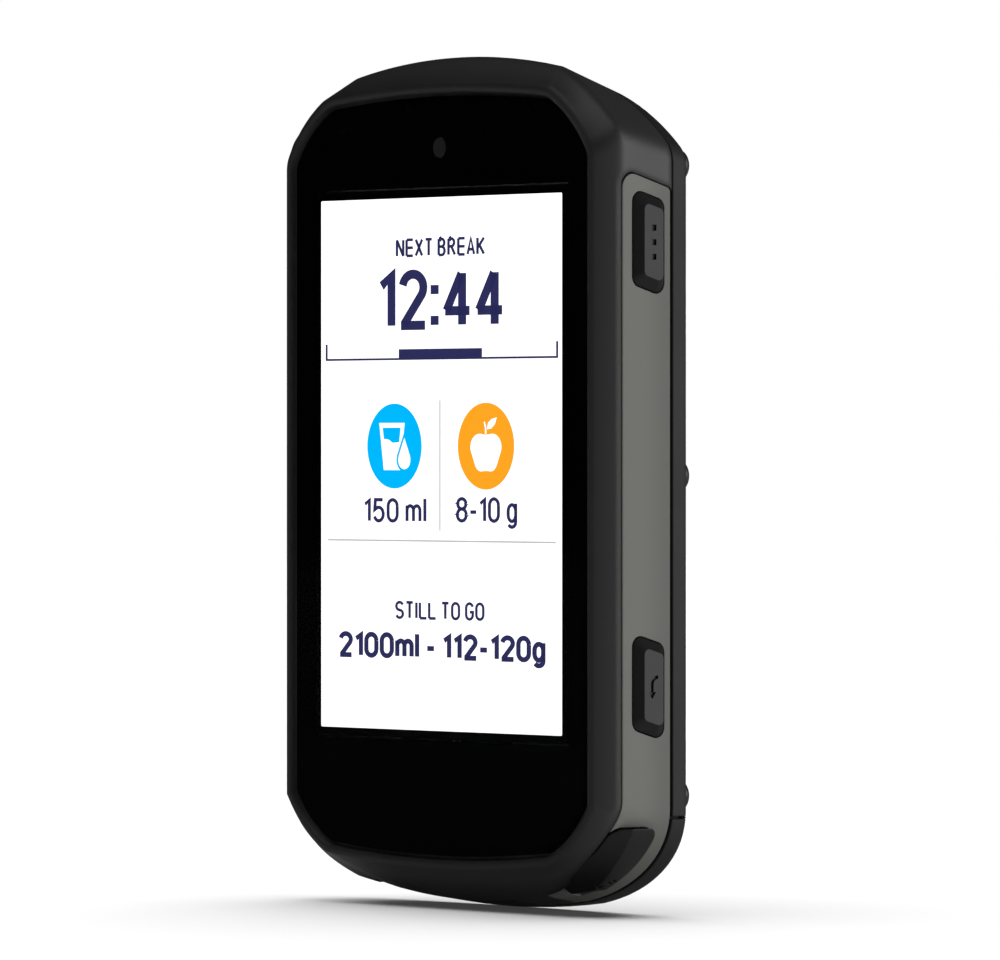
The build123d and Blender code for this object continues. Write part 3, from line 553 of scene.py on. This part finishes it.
def label(name, words, centre, size, look, weight):
    """Words drawn with strokes of the given weight in the middle of a box, all in mm."""
    strokes, x = [], 0.0
    for character in words:
        lines, width = LETTERS[character]
        strokes += [[(x + u, v) for u, v in line] for line in lines]
        x += width + LETTER_SPACE
    low = [min(p[i] for line in strokes for p in line) for i in (0, 1)]
    high = [max(p[i] for line in strokes for p in line) for i in (0, 1)]
    scale = [(size[i] - weight * PEN[i]) / (high[i] - low[i]) for i in (0, 1)]
    middle = [(low[i] + high[i]) / 2 for i in (0, 1)]
    vertices, faces = [], []
    for line in strokes:
        ribbon([[(p[i] - middle[i]) * scale[i] for i in (0, 1)] for p in line], weight, vertices, faces)
    mesh = bpy.data.meshes.new(name)
    mesh.from_pydata(vertices, [], faces)
    mesh.validate()
    show(name, mesh, look, on_screen(*centre, 1))


def lit_sheet():
    """The white ground of the picture, straight on the panel's face."""
    half_width, half_height = LIT_WIDTH / 2 / MM, LIT_HEIGHT / 2 / MM
    outline = round_box((-half_width, -half_height), (half_width, half_height), 0.15)
    sheet = flat_piece("screen_light", [outline], white_light, 0, SHEET_THICKNESS)
    sheet.location.y = PANEL_FACE - SHEET_THICKNESS / 2


def bracket():
    """Bottom line of the timeline with its two upright ends and the filled span."""
    left, right, low, high, line = -18.9, 19.05, 11.0, 12.75, 0.22
    end = 1.5 * line
    loop = [(left, low), (right, low), (right, high), (right - end, high),
            (right - end, low + line), (left + end, low + line), (left + end, high), (left, high)]
    flat_piece("timeline_frame", [loop], navy_light, 1)
    flat_piece("timeline_span", [round_box((-6.7, 11.0), (6.9, 12.15), 0.08)], navy_light, 2)


def rule(name, low, high):
    """Thin grey line between two parts of the picture."""
    flat_piece(name, [round_box(low, high, 0.02)], grey_light, 1)


def drop(centre, width, height):
    """A falling drop: a round belly and two sides that meet in a point."""
    x, z = centre
    radius = width / 2
    belly = arc((x, z), radius, 25, -205, 28)
    side = [(x - radius * 0.62, z + height * 0.45), (x, z + height)]
    return belly + side + [(x + radius * 0.62, z + height * 0.45)]


def drink_badge(centre, radius):
    """Blue disc with a half-full glass and a drop."""
    cx, cz = centre
    flat_piece("drink_disc", [arc(centre, radius, 0, 360, 72)[:-1]], blue_light, 1)
    glass = [(cx - 2.5, cz + 2.45), (cx + 1.7, cz + 2.45), (cx + 0.95, cz - 2.55), (cx - 1.75, cz - 2.55)]
    level = [(cx - 1.75, cz + 0.75), (cx - 1.0, cz + 0.7), (cx - 0.3, cz + 0.35), (cx + 0.8, cz + 0.4)]
    air = [(cx + 1.05, cz + 1.95), (cx - 1.95, cz + 1.95)]
    flat_piece("drink_glass", [glass, level + air], white_light, 2)
    flat_piece("drink_drop_gap", [drop((cx + 1.65, cz - 1.45), 2.6, 3.0)], blue_light, 3)
    flat_piece("drink_drop", [drop((cx + 1.65, cz - 1.45), 2.0, 2.3)], white_light, 4)


def food_badge(centre, radius):
    """Orange disc with a round fruit, its stalk and a leaf."""
    cx, cz = centre
    flat_piece("food_disc", [arc(centre, radius, 0, 360, 72)[:-1]], orange_light, 1)
    fruit = (arc((cx - 1.0, cz - 0.1), (1.5, 1.4), 70, 195, 16)
             + arc((cx - 0.75, cz - 1.3), (1.15, 1.35), 205, 285, 12)
             + arc((cx + 0.75, cz - 1.3), (1.15, 1.35), 255, 335, 12)
             + arc((cx + 1.0, cz - 0.1), (1.5, 1.4), -15, 110, 16))
    flat_piece("food_fruit", [fruit], white_light, 2)
    leaf = [(cx + 0.15, cz + 1.75), (cx + 0.35, cz + 2.45), (cx + 0.95, cz + 2.85),
            (cx + 1.75, cz + 3.0), (cx + 1.45, cz + 2.3), (cx + 0.85, cz + 1.85)]
    stalk = [(cx - 0.15, cz + 1.3), (cx + 0.1, cz + 1.3), (cx + 0.05, cz + 2.0),
             (cx - 0.2, cz + 2.6), (cx - 0.35, cz + 2.5), (cx - 0.15, cz + 1.9)]
    flat_piece("food_leaf", [leaf], white_light, 2)
    flat_piece("food_stalk", [stalk], white_light, 3)


# Middles and sizes are in mm, from the screen's centre.
lit_sheet()
label("caption_upper", "NEXT BREAK", (0.1, 22.85), (14.6, 2.0), navy_light, 0.34)
label("clock", "12:44", (0.3, 17.35), (21.0, 6.4), navy_light, 1.1)
bracket()
rule("divider_upright", (-0.05, -7.05), (0.17, 6.75))
rule("divider_level", (-18.55, -8.2), (18.7, -8.02))
drink_badge((-7.42, 1.9), 4.5)
food_badge((7.52, 1.88), 4.55)
label("drink_amount", "150 ml", (-7.35, -4.85), (10.4, 2.75), navy_light, 0.42)
label("food_amount", "8-10 g", (7.6, -5.1), (9.9, 3.3), navy_light, 0.42)
label("caption_lower", "STILL TO GO", (0.0, -15.45), (14.6, 1.95), navy_light, 0.34)
label("amounts_left", "2100ml - 112-120g", (0.1, -19.45), (33.9, 3.5), navy_light, 0.6)


# ---------------------------------------------------------------- studio
# The camera looks from the rider's right, level with the screen, through a long lens.
CAMERA_TURN = math.radians(49.87)
CAMERA_DISTANCE = 862 * MM
CAMERA_LENS = 294.8
CAMERA_LIFT = 1.2 * MM
CAMERA_TARGET = Vector((4.10, -10.04, 0.02)) * MM
FLOOR_RADIUS = 3.0
FLOOR_GLOW = 0.04
FLOOR_BOUNCE = 0.3          # how pale the floor is to everything but the camera
FLOOR_LIGHT, FLOOR_LIGHT_ANGLE = 4.35, math.radians(100)
FLOOR_LIGHT_TILT = 0.35     # it comes a little from behind, as seen by the camera
WORLD_FILL = 0.02


def aim(obj, target):
    """Turns a camera or a light towards a point."""
    obj.rotation_mode = "QUATERNION"
    obj.rotation_quaternion = (target - obj.location).to_track_quat("-Z", "Y")


def make_camera():
    camera = add_object("camera", bpy.data.cameras.new("camera"))
    camera.data.lens = CAMERA_LENS
    camera.data.sensor_width = 36
    camera.data.clip_start, camera.data.clip_end = 0.01, 20
    away = Vector((math.sin(CAMERA_TURN), -math.cos(CAMERA_TURN), 0))
    camera.location = SCREEN_CENTRE.copy()
    camera.location.y = PANEL_FACE
    camera.location += away * CAMERA_DISTANCE + Vector((0, 0, CAMERA_LIFT))
    aim(camera, CAMERA_TARGET)
    bpy.context.scene.camera = camera


def softbox(name, at, width, height, power):
    """Rectangular light aimed at the computer, unseen by the camera."""
    light = bpy.data.lights.new(name, "AREA")
    light.shape, light.size, light.size_y = "RECTANGLE", width, height
    light.energy = power
    box = add_object(name, light)
    box.location = at
    aim(box, CAMERA_TARGET)
    box.visible_camera = False
    return box


def make_floor():
    """Pale floor that stays white to the camera beyond the contact shadow."""
    bpy.ops.mesh.primitive_circle_add(vertices=96, radius=FLOOR_RADIUS, fill_type="NGON",
                                      location=(0, 0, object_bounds()[0].z))
    floor = bpy.context.object
    floor.name = "floor"
    material, nt, shader = new_material("floor_paper")
    tooth = noise(nt, 0.6 * MM, detail=3)
    paper = mix_colour(nt, tooth, (0.78, 0.78, 0.78, 1), (0.8, 0.8, 0.8, 1))
    seen = nt.nodes.new("ShaderNodeLightPath").outputs["Is Camera Ray"]
    nt.links.new(mix_colour(nt, seen, rgba((1, 1, 1), FLOOR_BOUNCE), paper), shader.inputs["Base Color"])
    shader.inputs["Roughness"].default_value = 0.9
    shader.inputs["Specular IOR Level"].default_value = 0.0
    shader.inputs["Emission Color"].default_value = (1, 1, 1, 1)
    nt.links.new(math_node(nt, "MULTIPLY", seen, FLOOR_GLOW), shader.inputs["Emission Strength"])
    floor.data.materials.append(material)
    floor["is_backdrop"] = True
    return floor


def floor_light(floor):
    """Broad light that only the floor receives; the computer still shades it."""
    light = bpy.data.lights.new("floor_light", "SUN")
    light.energy, light.angle = FLOOR_LIGHT, FLOOR_LIGHT_ANGLE
    sun = add_object("floor_light", light)
    sun.location = Vector((-math.sin(CAMERA_TURN), math.cos(CAMERA_TURN), 0)) * FLOOR_LIGHT_TILT
    sun.location.z = 1
    aim(sun, Vector((0, 0, 0)))
    receivers = bpy.data.collections.new("lit_by_floor_light")
    receivers.objects.link(floor)
    sun.light_linking.receiver_collection = receivers


def keep_off(floor, lights):
    """The softboxes light the computer only, and the floor doesn't shade them."""
    receivers = bpy.data.collections.new("lit_by_softboxes")
    for obj in bpy.context.scene.objects:
        if obj.type == "MESH" and obj != floor:
            receivers.objects.link(obj)
    for light in lights:
        light.light_linking.receiver_collection = receivers
        light.light_linking.blocker_collection = receivers


def make_world():
    """White to the camera, dim to everything else, so that black parts stay black."""
    world = bpy.data.worlds.new("studio")
    bpy.context.scene.world = world
    world.use_nodes = True
    nt = world.node_tree
    nt.nodes.clear()
    seen = nt.nodes.new("ShaderNodeLightPath").outputs["Is Camera Ray"]
    white = node(nt, "ShaderNodeBackground", Color=(1, 1, 1, 1), Strength=1.0)
    dim = node(nt, "ShaderNodeBackground", Color=(1, 1, 1, 1), Strength=WORLD_FILL)
    mix = nt.nodes.new("ShaderNodeMixShader")
    nt.links.new(seen, mix.inputs[0])
    nt.links.new(dim.outputs[0], mix.inputs[1])
    nt.links.new(white.outputs[0], mix.inputs[2])
    output = nt.nodes.new("ShaderNodeOutputWorld")
    nt.links.new(mix.outputs[0], output.inputs["Surface"])


make_camera()
floor = make_floor()
floor_light(floor)
make_world()
softboxes = [
    softbox("overhead", Vector((-0.1, -0.35, 0.75)), 0.6, 0.6, 1.6),
    softbox("right_side", Vector((0.65, 0.4, 0.05)), 0.5, 0.8, 4.6),
    softbox("front_fill", Vector((0.7, -0.8, -0.02)), 0.3, 0.2, 0.3),
    softbox("under_fill", Vector((0.45, -0.3, -0.6)), 0.5, 0.5, 0.9),
]
keep_off(floor, softboxes)
bpy.context.scene.view_settings.view_transform = "Standard"
bpy.context.scene.view_settings.look = "None"
